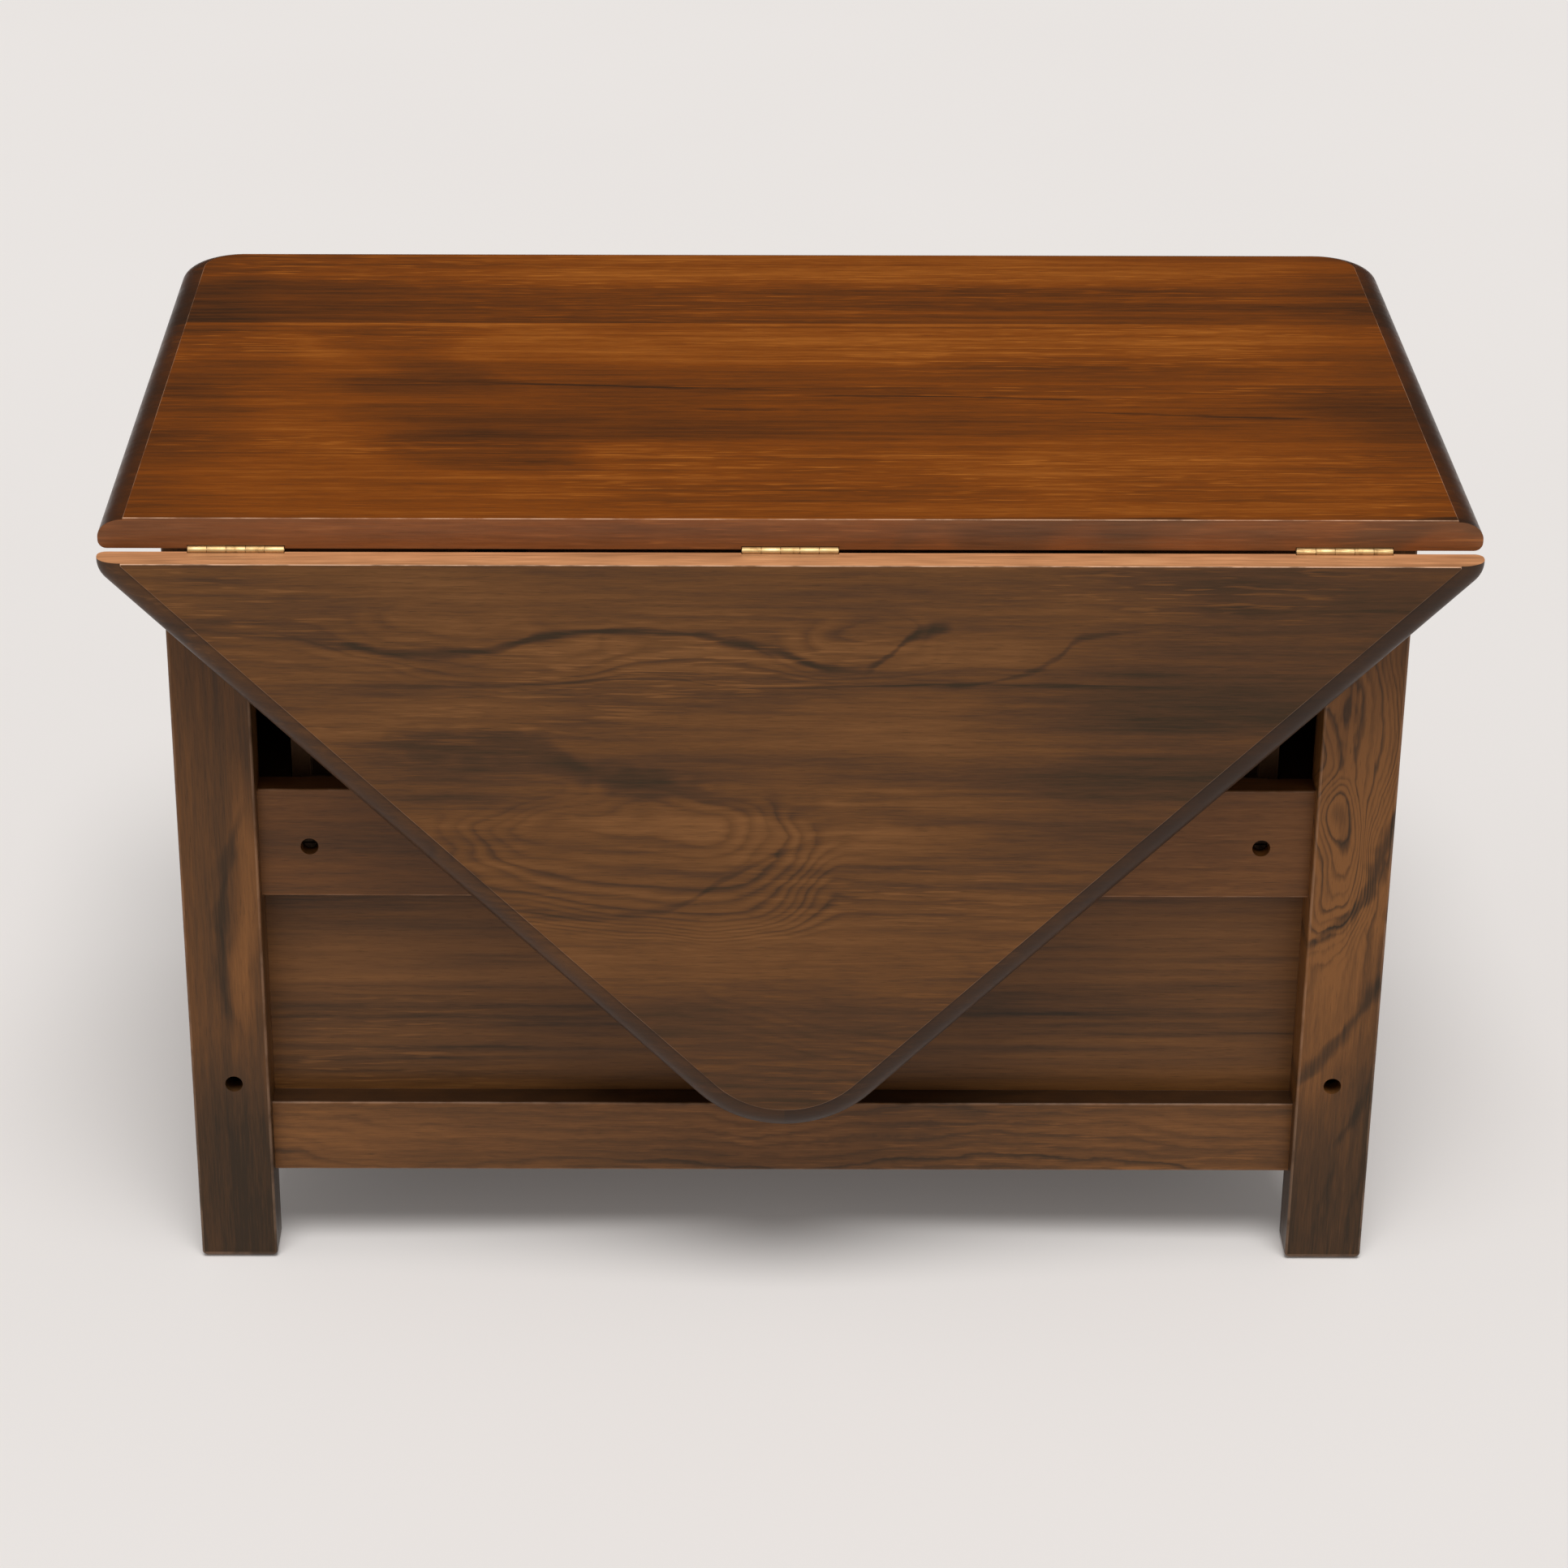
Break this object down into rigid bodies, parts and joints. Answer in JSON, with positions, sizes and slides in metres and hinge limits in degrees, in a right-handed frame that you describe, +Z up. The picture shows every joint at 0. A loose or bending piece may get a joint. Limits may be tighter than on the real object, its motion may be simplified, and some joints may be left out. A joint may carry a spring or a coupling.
{
  "type": "corner chest",
  "caption": "Low wooden chest on square legs with a moulded top, a triangular drop leaf hinged to its rear edge, and drawers at the front.",
  "frame": {"origin": "centre of the bounding box on the floor, with the leaf hanging", "axes": "+X across the width, to the right as seen from the rear; +Y from the leaf side (rear) to the drawer side (front); +Z up"},
  "size_m": [0.802, 0.5006, 0.522],
  "materials": {
    "top_wood": "satin lacquer, reddish brown, straight grain",
    "leaf_wood": "satin lacquer, dark brown, figured grain",
    "frame_wood": "satin lacquer, brown, cathedral grain",
    "panel_wood": "satin lacquer, brown",
    "inner_wood": "bare, sanded",
    "brass": "polished",
    "steel": "dark zinc"
  },
  "bodies": {
    "case": {"top_board": "top_wood", "leg_rear_left": "frame_wood", "leg_front_left": "frame_wood", "side_top_rail_left": "frame_wood", "side_bottom_rail_left": "frame_wood", "side_panel_left": "panel_wood", "upper_runner_left": "inner_wood", "lower_runner_left": "inner_wood", "bar_channel_left": "inner_wood", "runner_screw_left": "steel", "leg_screw_left": "steel", "leg_rear_right": "frame_wood", "leg_front_right": "frame_wood", "side_top_rail_right": "frame_wood", "side_bottom_rail_right": "frame_wood", "side_panel_right": "panel_wood", "upper_runner_right": "inner_wood", "lower_runner_right": "inner_wood", "bar_channel_right": "inner_wood", "runner_screw_right": "steel", "leg_screw_right": "steel", "rear_top_rail": "frame_wood", "rear_upper_rail": "frame_wood", "rear_bottom_rail": "frame_wood", "front_top_rail": "frame_wood", "front_middle_rail": "frame_wood", "front_bottom_rail": "frame_wood", "rear_panel": "panel_wood", "hinge_left_top_plate": "brass", "hinge_left_pin": "brass", "hinge_middle_top_plate": "brass", "hinge_middle_pin": "brass", "hinge_right_top_plate": "brass", "hinge_right_pin": "brass"},
    "leaf": {"drop_leaf": "leaf_wood", "hinge_left_leaf_plate": "brass", "hinge_middle_leaf_plate": "brass", "hinge_right_leaf_plate": "brass"},
    "upper_drawer": {"upper_drawer_front": "frame_wood", "upper_drawer_knob_left": "frame_wood", "upper_drawer_knob_right": "frame_wood", "upper_drawer_side_left": "inner_wood", "upper_drawer_side_right": "inner_wood", "upper_drawer_back": "inner_wood", "upper_drawer_bottom": "inner_wood"},
    "lower_drawer": {"lower_drawer_front": "frame_wood", "lower_drawer_knob_left": "frame_wood", "lower_drawer_knob_right": "frame_wood", "lower_drawer_side_left": "inner_wood", "lower_drawer_side_right": "inner_wood", "lower_drawer_back": "inner_wood", "lower_drawer_bottom": "inner_wood"},
    "bar_left": {"pull_out_bar_left": "inner_wood"},
    "bar_right": {"pull_out_bar_right": "inner_wood"}
  },
  "joints": [
    {"name": "leaf_hinge", "type": "hinge", "parent": "case", "child": "leaf", "pos_m": [0, -0.2305, 0.50225], "axis": [-1, 0, 0], "range_deg": [0, 90]},
    {"name": "upper_drawer_slide", "type": "slide", "parent": "case", "child": "upper_drawer", "axis": [0, 1, 0], "range_m": [0, 0.26]},
    {"name": "lower_drawer_slide", "type": "slide", "parent": "case", "child": "lower_drawer", "axis": [0, 1, 0], "range_m": [0, 0.26]},
    {"name": "bar_left_slide", "type": "slide", "parent": "case", "child": "bar_left", "axis": [0, -1, 0], "range_m": [0, 0.044]},
    {"name": "bar_right_slide", "type": "slide", "parent": "case", "child": "bar_right", "axis": [0, -1, 0], "range_m": [0, 0.044]}
  ]
}
